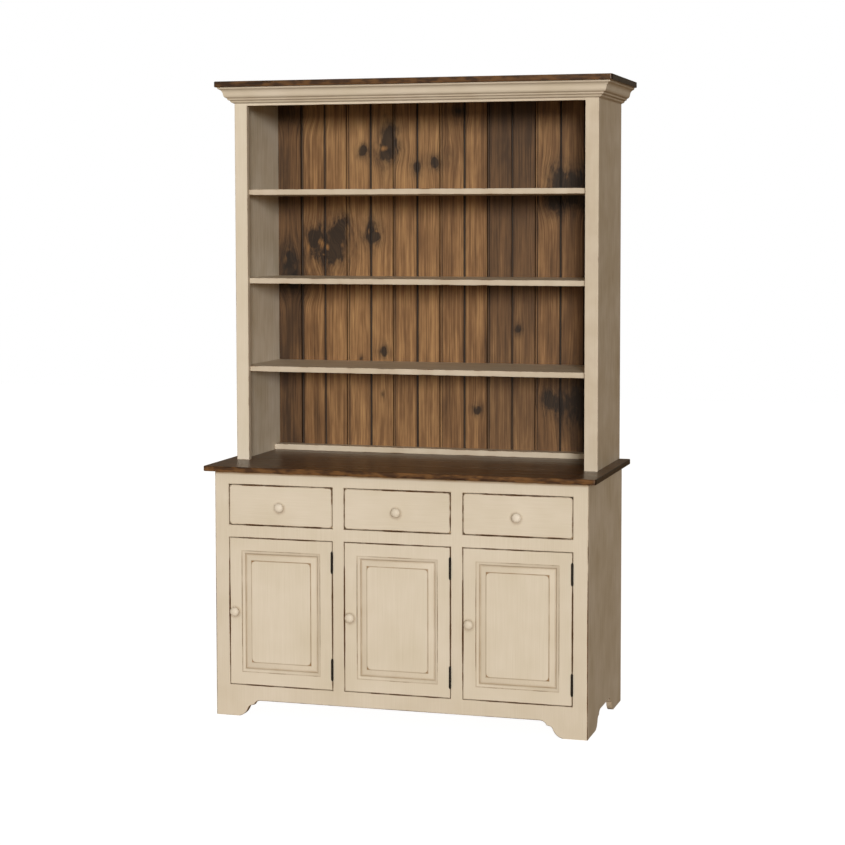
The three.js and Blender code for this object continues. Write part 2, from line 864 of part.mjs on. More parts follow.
const hutch = new THREE.Group();
hutch.position.set(0, hutchSetback, counterTop);
cupboard.add(hutch);
hutchCase(hutch);
crown(hutch);
cap(hutch);

export default cupboard;
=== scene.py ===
# Step back cupboard: rubbed cream paint, dark stained tops, and a knotty stained pine back.
from math import cos, pi, radians, sin
import bmesh
import bpy
from mathutils import Matrix, Vector


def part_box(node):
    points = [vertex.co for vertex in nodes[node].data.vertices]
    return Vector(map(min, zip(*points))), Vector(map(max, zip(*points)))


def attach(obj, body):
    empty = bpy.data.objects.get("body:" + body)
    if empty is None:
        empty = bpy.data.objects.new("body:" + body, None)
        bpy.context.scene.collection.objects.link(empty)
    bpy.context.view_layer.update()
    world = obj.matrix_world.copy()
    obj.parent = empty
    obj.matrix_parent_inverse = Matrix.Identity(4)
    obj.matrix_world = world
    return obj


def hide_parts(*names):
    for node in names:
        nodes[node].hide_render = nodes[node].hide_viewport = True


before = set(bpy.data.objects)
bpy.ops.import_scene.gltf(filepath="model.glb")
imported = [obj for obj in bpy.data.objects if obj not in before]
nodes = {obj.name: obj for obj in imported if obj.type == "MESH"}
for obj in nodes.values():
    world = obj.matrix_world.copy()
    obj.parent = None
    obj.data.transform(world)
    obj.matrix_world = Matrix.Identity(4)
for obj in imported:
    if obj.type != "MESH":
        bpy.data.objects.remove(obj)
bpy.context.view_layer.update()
mm = 0.001
# places closer than near count as the same, and points closer than merged become one
near = 0.1 * mm
merged = 0.02 * mm
# the angles up to which a seam is flat, and from which an edge is sharp
flatSeam = radians(0.4)
sharpEdge = radians(30)
# a noise lies mostly between these
noiseSpan = (0.3, 0.7)
sideNames = ["left", "middle", "right"]

# Tools for meshes


def activate(piece):
    if bpy.context.object and bpy.context.object.mode != "OBJECT":
        bpy.ops.object.mode_set(mode="OBJECT")
    bpy.ops.object.select_all(action="DESELECT")
    piece.select_set(True)
    bpy.context.view_layer.objects.active = piece


def editAll(piece):
    activate(piece)
    bpy.ops.object.mode_set(mode="EDIT")
    bpy.ops.mesh.select_all(action="SELECT")


def pick(piece, kind, test):
    # leaves the piece in edit mode with the vertices, edges or faces that the test names selected
    activate(piece)
    bpy.ops.object.mode_set(mode="EDIT")
    bpy.ops.mesh.select_mode(type=kind)
    bpy.ops.mesh.select_all(action="DESELECT")
    bpy.ops.object.mode_set(mode="OBJECT")
    mesh = piece.data
    if kind == "VERT":
        for vertex in mesh.vertices:
            vertex.select = test(vertex.co)
    elif kind == "EDGE":
        for edge in mesh.edges:
            start, end = [mesh.vertices[i].co for i in edge.vertices]
            edge.select = test((start + end) / 2, end - start)
    else:
        for face in mesh.polygons:
            face.select = test(face.center, face.normal)
    bpy.ops.object.mode_set(mode="EDIT")


def objectMode():
    bpy.ops.object.mode_set(mode="OBJECT")


def applyModifier(piece, kind, **settings):
    activate(piece)
    modifier = piece.modifiers.new(kind.title(), kind)
    for name, value in settings.items():
        setattr(modifier, name, value)
    bpy.ops.object.modifier_apply(modifier=modifier.name)


def meshPiece(name, mesh):
    piece = bpy.data.objects.new(name, mesh)
    bpy.context.scene.collection.objects.link(piece)
    return piece


def mergeFlats(piece):
    # makes one shell of loose triangles, with its flat sides whole again
    editAll(piece)
    bpy.ops.mesh.remove_doubles(threshold=merged)
    bpy.ops.mesh.dissolve_limited(angle_limit=flatSeam)
    objectMode()
    return piece


def cleanCopy(name, nodeName):
    piece = meshPiece(name, nodes[nodeName].data.copy())
    piece.data.materials.clear()
    return mergeFlats(piece)


def combine(piece, operation, other):
    # adds another piece to this one, or cuts it out, and the other one goes
    applyModifier(piece, "BOOLEAN", operation=operation, solver="EXACT", object=other)
    bpy.data.objects.remove(other)


def gluedCopy(name, nodeNames):
    # boards that are glued, filled and painted over as one
    piece = cleanCopy(name, nodeNames[0])
    for other in nodeNames[1:]:
        combine(piece, "UNION", cleanCopy(other + "_glued", other))
    return mergeFlats(piece)


def settle(name, size, middle):
    # names the new piece of unit size, and gives its mesh its real size and place
    piece = bpy.context.object
    piece.name = name
    piece.scale = size
    piece.location = middle
    bpy.ops.object.transform_apply()
    return piece


def boxPiece(name, low, high):
    low, high = Vector(low), Vector(high)
    bpy.ops.object.select_all(action="DESELECT")
    bpy.ops.mesh.primitive_cube_add(size=1)
    return settle(name, high - low, (low + high) / 2)


def uprightPlane(name, width, height, middle):
    bpy.ops.object.select_all(action="DESELECT")
    bpy.ops.mesh.primitive_plane_add(size=1, rotation=(pi / 2, 0, 0))
    return settle(name, (width, height, 1), middle)


def roundEdges(piece, look, chosen, flats):
    # rounds the chosen sharp edges, and rings the flats beside them so that rubbing can fade away
    work = bmesh.new()
    work.from_mesh(piece.data)
    rubbed = work.verts.layers.float.get("rubbed") or work.verts.layers.float.new("rubbed")
    sharp = [edge for edge in work.edges
             if edge.calc_face_angle(0) > sharpEdge
             and chosen((edge.verts[0].co + edge.verts[1].co) / 2)]
    made = bmesh.ops.bevel(work, geom=sharp, offset=look["round"], offset_type="OFFSET", affect="EDGES",
                           segments=look["steps"], profile=0.5, clamp_overlap=True)
    rounds = set(made["faces"])
    for face in rounds:
        for vertex in face.verts:
            vertex[rubbed] = 1
    for way in flats:
        flat = [face for face in work.faces if face not in rounds and face.normal.dot(Vector(way)) > 0.99]
        bmesh.ops.inset_region(work, faces=flat, thickness=look["ring"], use_even_offset=True,
                               use_boundary=True)
        for face in flat:
            for vertex in face.verts:
                vertex[rubbed] = 0
    work.to_mesh(piece.data)
    work.free()


def smooth(piece, angle=40):
    activate(piece)
    bpy.ops.object.shade_smooth_by_angle(angle=radians(angle))
    applyModifier(piece, "WEIGHTED_NORMAL", keep_sharp=True)


def pointValues(piece, name, valueAt):
    layer = piece.data.attributes.get(name) or piece.data.attributes.new(name, "FLOAT", "POINT")
    for i, vertex in enumerate(piece.data.vertices):
        layer.data[i].value = valueAt(vertex.co)


def place(piece, body, slot, material, replaced=()):
    piece.data.materials.clear()
    piece.data.materials.append(material)
    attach(piece, body)
    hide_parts(*replaced)
    return piece


def copyTo(model, name, home, node):
    # the model itself for its home node, and for any other node a moved copy with its own mesh
    if node == home:
        return model
    piece = meshPiece(name, model.data.copy())
    piece.data.transform(Matrix.Translation(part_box(node)[0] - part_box(home)[0]))
    return piece


# Tools for materials


def colour(code):
    parts = [int(code[i:i + 2], 16) / 255 for i in (1, 3, 5)]
    return [c / 12.92 if c <= 0.04045 else ((c + 0.055) / 1.055) ** 2.4 for c in parts] + [1]


def setInputs(tree, node, inputs):
    # links or sets each input; a string is a colour
    for name, value in inputs.items() if isinstance(inputs, dict) else enumerate(inputs):
        if isinstance(value, bpy.types.NodeSocket):
            tree.links.new(value, node.inputs[name])
        else:
            node.inputs[name].default_value = colour(value) if isinstance(value, str) else value


def addNode(tree, kind, inputs=(), output=0, **settings):
    # adds a node with its settings and links, and gives the output that is asked for
    node = tree.nodes.new("ShaderNode" + kind)
    for name, value in settings.items():
        setattr(node, name, value)
    setInputs(tree, node, inputs)
    return node.outputs[output]


def newMaterial(name):
    material = bpy.data.materials.new(name)
    material.use_nodes = True
    tree = material.node_tree
    return material, tree, addNode(tree, "TexCoord", output="Object")


def setShader(tree, look, body, rough, height=None):
    # the height, where there is one, is a pattern that the surface follows in fine relief
    values = {"Base Color": body, "Roughness": rough, "Specular IOR Level": look["specular"]}
    if height is not None:
        bump = {"Height": height, "Strength": look["relief"], "Distance": 0.3 * mm}
        values["Normal"] = addNode(tree, "Bump", bump)
    setInputs(tree, tree.nodes["Principled BSDF"], values)


def stretchedNoise(tree, at, size, detail=3, roughness=0.55, distortion=0):
    # noise whose blotches have the given real size along X, Y and Z
    scaled = addNode(tree, "VectorMath", [at, [1 / s for s in size]], operation="MULTIPLY")
    return addNode(tree, "TexNoise", {"Vector": scaled, "Scale": 1, "Detail": detail,
                                      "Roughness": roughness, "Distortion": distortion})


def weighted(tree, value, parts):
    # adds patterns to a value, each by its share
    for part, share in parts:
        value = addNode(tree, "Math", [part, share, value], operation="MULTIPLY_ADD")
    return value


def coated(tree, body, coats):
    # lays coats over a colour, each by its share; the colours of a Mix node are its sockets 6 and 7
    for share, coat in coats:
        body = addNode(tree, "Mix", {0: share, 6: body, 7: coat}, 2, data_type="RGBA")
    return body


def threeTones(tree, value, low, high, look):
    # a wood's dark, middle and light colours as a value goes from low to high
    ramp = addNode(tree, "ValToRGB", [addNode(tree, "MapRange", [value, low, high])])
    elements = ramp.node.color_ramp.elements
    elements.new(0.5)
    for element, tone in zip(elements, ("dark", "middle", "light")):
        element.color = colour(look[tone])
    return ramp


# Finishes

# Brushed cream milk paint over a brown base coat, glazed and wiped: satin, faintly streaked along the
# boards, brown where the wiping left glaze in the corners and where shade is painted, and rubbed through
# to the base along its edges.
paintLook = {
    "cream": "#dcd3c3", "creamShade": "#cfc5b0", "tones": (0.6, 1.3), "blotch": 160 * mm,
    "streakWidth": 2.2 * mm, "streakLength": 140 * mm, "streaks": 0.9,
    "base": "#4c341e", "baseLight": "#7a5733", "rubVaries": 0.2, "rubLength": 70 * mm, "rubGrain": 5 * mm,
    "grain": 0.2, "bare": (1.16, 1.28),
    # the halo keys and fuzz give the painted shadow round each knob
    "glaze": "#8d6f49", "edgeTint": 0.25, "glazeLeft": (0.55, 1), "halo": 0.55, "shadowCore": 14 * mm,
    "shadowRadius": 29 * mm, "shadowSlip": 4.5 * mm, "fuzz": 9 * mm, "fuzzReach": 8 * mm,
    "roughness": (0.45, 0.57), "specular": 0.3, "relief": 0.12,
}


def creamPaint(name, along, knob=None, handled=False, fresh={}):
    look = {**paintLook, **fresh}
    material, tree, at = newMaterial(name)
    parts = addNode(tree, "SeparateXYZ", [at]).node.outputs
    size = [look["streakLength"] if axis == along else look["streakWidth"] for axis in "XYZ"]
    streaks = stretchedNoise(tree, at, size, 4, 0.6)
    broad = stretchedNoise(tree, at, [look["blotch"]] * 3, 2)
    tone = weighted(tree, broad, [(streaks, look["streaks"])])
    tone = addNode(tree, "MapRange", [tone, *look["tones"]])

    wide = stretchedNoise(tree, at, [look["rubLength"]] * 3, 2)
    rub = addNode(tree, "MapRange", [wide, 0.4, 0.7, 0, look["rubVaries"]])
    if handled:
        rub = addNode(tree, "Math", [rub, middleRub(tree, parts)], operation="ADD")
    rubbed = addNode(tree, "Attribute", output="Fac", attribute_name="rubbed")
    grain = stretchedNoise(tree, at, [look["rubGrain"]] * 3, 3)
    edge = weighted(tree, rubbed, [(grain, look["grain"])])
    reach = addNode(tree, "Math", [edge, rub], operation="ADD")
    bare = addNode(tree, "MapRange", [reach, *look["bare"]])
    tint = addNode(tree, "MapRange", [rubbed, 0.5, 1, 0, look["edgeTint"]])

    # pooled holds the glaze left in hollows, and also painted shade and shadow where a piece sets it so
    pooled = addNode(tree, "Attribute", output="Fac", attribute_name="pooled")
    left = addNode(tree, "MapRange", [wide, *noiseSpan, *look["glazeLeft"]])
    glaze = addNode(tree, "Math", [pooled, left], operation="MULTIPLY")
    # a knob's painted shadow darkens the paint like glaze
    if knob:
        glaze = addNode(tree, "Math", [glaze, paintedKnobShadow(tree, at, parts, knob)], operation="MAXIMUM")
    glaze = addNode(tree, "Math", [glaze, tint], operation="MAXIMUM")
    under = coated(tree, look["base"], [(addNode(tree, "MapRange", [grain, 0.35, 0.7]), look["baseLight"])])
    body = coated(tree, look["cream"], [(tone, look["creamShade"]), (glaze, look["glaze"]), (bare, under)])
    rough = addNode(tree, "MapRange", [streaks, *noiseSpan, *look["roughness"]])
    setShader(tree, look, body, rough, streaks)
    return material


# Hands and cloths rub the doors and drawers most at the middle of their edges: (half length, how much).
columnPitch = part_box("drawer_middle_front")[0].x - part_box("drawer_left_front")[0].x
doorMiddle = (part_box("door_middle_frame")[0].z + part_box("door_middle_frame")[1].z) / 2
rubMiddle = {"across": (150 * mm, 0.12), "up": (190 * mm, 0.26)}


def middleRub(tree, parts):
    across = addNode(tree, "Math", [parts[0], columnPitch / 2], operation="PINGPONG")
    up = addNode(tree, "Math", [parts[2], doorMiddle], operation="SUBTRACT")
    total = 0
    for offset, (half, more) in [(across, rubMiddle["across"]), (up, rubMiddle["up"])]:
        share = addNode(tree, "Math", [offset, half], operation="DIVIDE")
        square = addNode(tree, "Math", [share, share], operation="MULTIPLY")
        here = addNode(tree, "MapRange", [square, 0, 1, more, 0])
        total = addNode(tree, "Math", [total, here], operation="MAXIMUM")
    return total


# Painted shadow round the foot of a knob, in the glaze's brown.
def paintedKnobShadow(tree, at, parts, knob):
    # the painted shadow falls down and to the left, away from the light
    look = paintLook
    shifted = addNode(tree, "Math", [parts[0], knob[0] - look["shadowSlip"]], operation="SUBTRACT")
    across = addNode(tree, "Math", [shifted, columnPitch / 2], operation="PINGPONG")
    up = addNode(tree, "Math", [parts[2], knob[1] - look["shadowSlip"]], operation="SUBTRACT")
    offset = addNode(tree, "CombineXYZ", [across, 0, up])
    far = addNode(tree, "VectorMath", [offset], "Value", operation="LENGTH")
    far = weighted(tree, far, [(stretchedNoise(tree, at, [look["fuzz"]] * 3, 2), look["fuzzReach"])])
    return addNode(tree, "MapRange", [far, look["shadowCore"], look["shadowRadius"], look["halo"], 0])


# Walnut stain on pine boards, wiped and varnished: satin, with streaks and pores along X.
stainLook = {
    "dark": "#2f1c10", "middle": "#523720", "light": "#78512b", "rub": "#94693c", "pooled": "#1b120b",
    "grainWidth": 2.5 * mm, "bandWidth": 14 * mm, "grainLength": 190 * mm,
    "patch": (45 * mm, 30 * mm, 14 * mm), "fine": 0.5, "patches": 0.6, "tones": (0.7, 1.45),
    "worn": (0.42, 0.62, 0, 0.6), "roughness": (0.26, 0.4), "specular": 0.3, "relief": 0.15,
}


def walnutStain(name):
    look = stainLook
    material, tree, at = newMaterial(name)
    length, width, band = look["grainLength"], look["grainWidth"], look["bandWidth"]
    fine = stretchedNoise(tree, at, [length, width, width], 4, 0.6)
    bands = stretchedNoise(tree, at, [length * 2, band, band], 3, 0.5, 0.6)
    patches = stretchedNoise(tree, at, look["patch"])
    tone = weighted(tree, bands, [(fine, look["fine"]), (patches, look["patches"])])
    stain = threeTones(tree, tone, *look["tones"], look)
    rubbed = addNode(tree, "Attribute", output="Fac", attribute_name="rubbed")
    worn = addNode(tree, "MapRange", [patches, *look["worn"]])
    worn = addNode(tree, "Math", [rubbed, worn], operation="MULTIPLY")
    pooled = addNode(tree, "Attribute", output="Fac", attribute_name="pooled")
    body = coated(tree, stain, [(worn, look["rub"]), (pooled, look["pooled"])])
    rough = addNode(tree, "MapRange", [bands, *noiseSpan, *look["roughness"]])
    setShader(tree, look, body, rough, fine)
    return material


# Knotty pine under the same stain, wiped thin: fine upright grain that runs round dark, smudged knots.
pineLook = {
    "dark": "#412c19", "middle": "#7b5938", "light": "#b28a5b", "cold": "#48382a",
    "knot": "#1b130d", "knotPale": "#2f2217", "heart": "#8f673c",
    "grainWidth": 3 * mm, "bandWidth": 15 * mm, "grainLength": 240 * mm, "patch": (50 * mm, 1, 160 * mm),
    "figureWidth": 40 * mm, "figureLines": 55, "midHeight": 1.5, "tones": (0.55, 1.13),
    "start": 0.02, "bands": 0.5, "fine": 0.75, "patches": 0.4, "figure": 0.025,
    "bend": (18, 1, 10 * mm), "fray": (60, 4, 4 * mm), "knotFlow": 0.5, "knotSpread": 1.25,
    "coreFall": 0.5, "haloFall": 0.74, "heartFall": 0.35, "smudge": (13 * mm, 1, 34 * mm),
    "haloVaries": (0.32, 0.68, 0.2, 0.85), "coreVaries": (0.3, 0.6, 0.75, 1.2),
    "heartVaries": (0.35, 0.6, 0.35, 1), "rings": 5, "ringPale": 0.84, "knotTones": (0.36, 0.62),
    "covers": (0.02, 0.85, 0, 0.95), "heartCovers": (0.1, 0.8), "pooledCovers": 0.95,
    "roughness": 0.5, "specular": 0.3, "relief": 0.2,
}
# Each knot: place across and up, radius, how much taller than wide, how dark.
knots = {
    "crown smudge": [(-0.206, 2.012, 0.021, 1.6, 0.95), (-0.192, 1.968, 0.012, 1.6, 1),
                     (-0.207, 1.938, 0.024, 0.8, 0.95), (-0.222, 1.885, 0.012, 2.6, 0.45)],
    "pins in the top bay": [(-0.298, 1.9465, 0.0115, 1.2, 1.4), (-0.0956, 1.8857, 0.0105, 1.5, 1.4)],
    "pair": [(-0.487, 1.632, 0.017, 1.5, 1.3), (-0.405, 1.62, 0.033, 1.1, 1.1),
             (-0.432, 1.585, 0.021, 1, 1.1), (-0.388, 1.672, 0.014, 1.5, 0.9),
             (-0.368, 1.702, 0.011, 1.2, 0.6), (-0.42, 1.55, 0.028, 1.1, 0.5)],
    "groove knot": [(-0.268, 1.655, 0.018, 1.6, 1.2), (-0.253, 1.641, 0.014, 0.8, 0.9)],
    "left corner": [(-0.584, 1.568, 0.022, 1.3, 0.8), (-0.575, 1.51, 0.03, 1.2, 0.8)],
    "right of the crown smudge": [(-0.0324, 1.9007, 0.0115, 1.2, 1.4), (0.06, 2.083, 0.019, 1.1, 0.9),
                                  (0.021, 1.924, 0.02, 1.5, 0.35)],
    "right groove and corner": [(0.42, 1.845, 0.017, 1.8, 1), (0.484, 1.832, 0.036, 0.9, 1.1)],
    "below the top shelf": [(0.405, 1.757, 0.016, 1.3, 1), (0.47, 1.764, 0.04, 0.6, 0.9)],
    "low pins and specks": [(-0.2227, 1.2255, 0.01, 1.4, 1.4), (-0.3065, 1.2009, 0.0045, 1.4, 0.9),
                            (-0.2231, 1.0649, 0.0045, 1.8, 0.8), (0.2775, 1.3106, 0.009, 1.3, 1.2),
                            (0.131, 1.0222, 0.0105, 1.1, 1.4)],
    "low right": [(0.385, 1.07, 0.016, 1.3, 1.1), (0.425, 1.045, 0.02, 1, 1),
                  (0.505, 1.052, 0.036, 1.9, 1.05)],
    # not knots: painted shade in the back's left corners, under the middle shelf and under the top rail
    "painted shade in the left corners": [(-0.572, 1.46, 0.04, 0.6, 0.6), (-0.585, 2.085, 0.045, 0.5, 0.6)],
}

# Pale wood caught inside the big knots: place across and up, radius, how much taller than wide, how pale.
hearts = {
    "pair": [(-0.4605, 1.612, 0.0105, 1.7, 1.1), (-0.436, 1.6, 0.007, 1.5, 1),
             (-0.51, 1.6, 0.007, 2.4, 0.7), (-0.452, 1.572, 0.006, 0.8, 0.8),
             (-0.378, 1.607, 0.006, 2.2, 0.5)],
    "groove knot": [(-0.279, 1.655, 0.0055, 2.2, 0.6), (-0.247, 1.657, 0.007, 0.7, 0.7)],
    "crown smudge": [(-0.218, 1.955, 0.013, 0.7, 1.2)],
    "left corner": [(-0.598, 1.556, 0.009, 2.2, 0.4), (-0.588, 1.59, 0.008, 1.2, 0.5)],
    "right corner": [(0.452, 1.85, 0.008, 1.5, 0.4)],
}


def jittered(tree, place, at, scale, detail, reach):
    noise = addNode(tree, "TexNoise", {"Vector": at, "Scale": scale, "Detail": detail}, "Color")
    jitter = addNode(tree, "VectorMath", [noise, [0.5] * 3], operation="SUBTRACT")
    jitter = addNode(tree, "VectorMath", {0: jitter, "Scale": 2 * reach}, operation="SCALE")
    return addNode(tree, "VectorMath", [place, jitter], operation="ADD")


def spot(tree, at, across, up, radius, tall):
    # squared distance from the middle of an oval, in shares of its radius, and the offset behind it
    offset = addNode(tree, "VectorMath", [at, (across, 0, up)], operation="SUBTRACT")
    shares = (1 / radius, 0, 1 / (radius * tall))
    offset = addNode(tree, "VectorMath", [offset, shares], operation="MULTIPLY")
    return addNode(tree, "VectorMath", [offset, offset], "Value", operation="DOT_PRODUCT"), offset


def knotPatterns(tree, at, start, end):
    # for the knots by one board: their soft halos and dark cores, the pale wood in them, how far the grain
    # gives way to them, and the squared distance from the nearest
    look = pineLook
    bent = jittered(tree, at, at, *look["bend"])
    loose = jittered(tree, bent, at, *look["fray"])
    halo, core, pale, shift, nearest = 0, 0, 0, 0, 10
    for across, up, radius, tall, dark in sum(knots.values(), []):
        radius = radius * look["knotSpread"]
        if start - 2 * radius < across < end + 2 * radius:
            frayed = spot(tree, loose, across, up, radius, tall)[0]
            ringed, offset = spot(tree, bent, across, up, radius, tall)
            nearest = addNode(tree, "Math", [ringed, nearest], operation="MINIMUM")
            inner = addNode(tree, "Math", [look["coreFall"], frayed], operation="POWER")
            core = weighted(tree, core, [(inner, dark)])
            outer = addNode(tree, "Math", [look["haloFall"], frayed], operation="POWER")
            halo = weighted(tree, halo, [(outer, dark)])
            side = addNode(tree, "SeparateXYZ", [offset], "X")
            flow = addNode(tree, "Math", [outer, side], operation="MULTIPLY")
            shift = weighted(tree, shift, [(flow, -look["knotFlow"] * radius)])
    for across, up, radius, tall, light in sum(hearts.values(), []):
        if start - 2 * radius < across < end + 2 * radius:
            frayed = spot(tree, loose, across, up, radius, tall)[0]
            inner = addNode(tree, "Math", [look["heartFall"], frayed], operation="POWER")
            pale = weighted(tree, pale, [(inner, light)])
    return halo, core, pale, shift, nearest


def stainedPine(name, start, end, tone, cold, toneAndLightRise, own):
    look = pineLook
    material, tree, at = newMaterial(name)
    halo, core, pale, shift, nearest = knotPatterns(tree, at, start, end)
    # each board's grain is cut from another place in the noise
    flowed = addNode(tree, "CombineXYZ", [shift, own * 0.31, own * 1.7])
    flowed = addNode(tree, "VectorMath", [at, flowed], operation="ADD")
    fine = stretchedNoise(tree, flowed, [look["grainWidth"], 1, look["grainLength"]], 4, 0.62)
    bands = stretchedNoise(tree, flowed, [look["bandWidth"], 1, look["grainLength"] * 1.8], 3, 0.5, 0.15)
    patches = stretchedNoise(tree, flowed, look["patch"], 3, 0.6)
    # the level lines of a smooth noise run as the arched figure of a plain sawn board
    level = stretchedNoise(tree, flowed, [look["figureWidth"], 1, look["grainLength"] * 2], 1)
    figure = addNode(tree, "Math", [level, look["figureLines"]], operation="MULTIPLY")
    figure = addNode(tree, "Math", [figure], operation="SINE")
    height = addNode(tree, "SeparateXYZ", [at], "Z")
    height = addNode(tree, "Math", [height, look["midHeight"]], operation="SUBTRACT")
    # the tone shifts going up, partly the board's own and partly painted light in the shaded upper bays
    value = weighted(tree, look["start"], [
        (bands, look["bands"]), (fine, look["fine"]), (patches, look["patches"]), (figure, look["figure"]),
        (height, toneAndLightRise)])
    low, high = look["tones"]
    stain = threeTones(tree, value, low - tone, high - tone, look)

    smudge = stretchedNoise(tree, at, look["smudge"])
    shades = []
    for pattern, noise, varies in [(halo, smudge, "haloVaries"), (core, smudge, "coreVaries"),
                                   (pale, fine, "heartVaries")]:
        share = addNode(tree, "MapRange", [noise, *look[varies]])
        shades.append(addNode(tree, "Math", [pattern, share], operation="MULTIPLY"))
    darkness = addNode(tree, "Math", shades[:2], operation="MAXIMUM")
    # growth rings round a knot show as paler arcs in its dark smudge
    rings = addNode(tree, "Math", [nearest, look["rings"]], operation="MULTIPLY")
    rings = addNode(tree, "Math", [rings], operation="SINE")
    rings = addNode(tree, "MapRange", [rings, 0, 1, 1, look["ringPale"]])
    darkness = addNode(tree, "Math", [darkness, rings], operation="MULTIPLY")
    darkness = addNode(tree, "MapRange", [darkness, *look["covers"]])
    mottle = addNode(tree, "MapRange", [fine, *look["knotTones"]])
    knot = coated(tree, look["knot"], [(mottle, look["knotPale"])])
    pale = addNode(tree, "MapRange", [shades[2], *look["heartCovers"]])
    pooled = addNode(tree, "Attribute", output="Fac", attribute_name="pooled")
    pooled = addNode(tree, "Math", [pooled, look["pooledCovers"]], operation="MULTIPLY")
    body = coated(tree, stain, [(cold, look["cold"]), (darkness, knot), (pale, look["heart"]),
                                (pooled, look["knot"])])
    setShader(tree, look, body, look["roughness"], fine)
    return material


# Unfinished poplar and pine inside the drawers and the case: pale, dry, with soft grain along one way.
bareLook = {"pale": "#dcc094", "dark": "#bf9a68", "grainWidth": 3 * mm, "grainLength": 260 * mm,
            "bandsWider": 5, "fine": 0.6, "tones": (0.55, 1.1), "roughness": 0.62, "specular": 0.5,
            "relief": 0.2}


def bareWood(name, along):
    look = bareLook
    material, tree, at = newMaterial(name)
    # the faces of boards that lie across the others have their grain the other way
    parts = addNode(tree, "SeparateXYZ", [at]).node.outputs
    other = addNode(tree, "CombineXYZ", [parts["Y"], parts["X"], parts["Z"]])
    turned = addNode(tree, "Attribute", output="Fac", attribute_name="turned")
    at = addNode(tree, "Mix", {0: turned, 4: at, 5: other}, 1, data_type="VECTOR")
    size = [look["grainLength"] if axis == along else look["grainWidth"] for axis in "XYZ"]
    fine = stretchedNoise(tree, at, size, 4, 0.6)
    bands = stretchedNoise(tree, at, [s * look["bandsWider"] for s in size], 2, 0.5, 0.5)
    tone = addNode(tree, "MapRange", [weighted(tree, bands, [(fine, look["fine"])]), *look["tones"]])
    body = coated(tree, look["pale"], [(tone, look["dark"])])
    setShader(tree, look, body, look["roughness"], fine)
    return material


# Black oxide on rolled and turned iron: near black and dull, with faint spots.
ironLook = {"dark": "#16130f", "spot": "#3a322a", "spots": 4 * mm, "spotted": (0.4, 0.75),
            "metallic": 0.7, "roughness": (0.35, 0.6), "specular": 0.5}


def blackIron(name):
    look = ironLook
    material, tree, at = newMaterial(name)
    spots = stretchedNoise(tree, at, [look["spots"]] * 3)
    spotted = addNode(tree, "MapRange", [spots, *look["spotted"]])
    body = coated(tree, look["dark"], [(spotted, look["spot"])])
    rough = addNode(tree, "MapRange", [spots, *noiseSpan, *look["roughness"]])
    setShader(tree, look, body, rough)
    setInputs(tree, tree.nodes["Principled BSDF"], {"Metallic": look["metallic"]})
    return material


knobCentre = {}
for kind in ("drawer", "door"):
    low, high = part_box(kind + "_middle_knob")
    knobCentre[kind] = ((low.x + high.x) / 2, (low.z + high.z) / 2)
paintUp = creamPaint("cream_paint_upright", "Z")
paintAcross = creamPaint("cream_paint_across", "X")
paintDeep = creamPaint("cream_paint_front_to_back", "Y")
paintSide = creamPaint("cream_paint_side", "Z", fresh={"creamShade": "#b9ab90", "streakWidth": 7 * mm})
paintDrawer = creamPaint("cream_paint_drawer", "X", knobCentre["drawer"], True)
paintDoor = creamPaint("cream_paint_door", "Z", knobCentre["door"], True)
paintFrame = creamPaint("cream_paint_face_frame", "Z", None, True)
walnut = walnutStain("walnut_stain_satin")
bareAcross = bareWood("bare_wood_across", "X")
bareDeep = bareWood("bare_wood_front_to_back", "Y")
iron = blackIron("black_iron")
print("materials made")

# Face frames and case sides

boardLook = {"round": 0.9 * mm, "steps": 2, "ring": 4.5 * mm, "outerRound": 1.6 * mm, "browner": 0.3,
             "glazeAndShadeInOpenings": {"base": 0.95, "hutch": 0.4}, "shadeOnSides": {"base": 0.12, "hutch": 0.28},
             "shadowUnderCounter": {"drop": 13 * mm, "glaze": 1.8}, "shadeOnApron": 0.08, "arch": 90 * mm, "shadeInArch": 0.45,
             "rub": {"base": 1, "hutch": 0.93}, "footRub": 1.16}
shelfLook = {"round": 1.3 * mm, "steps": 2, "ring": 4.5 * mm, "browner": 0.34}


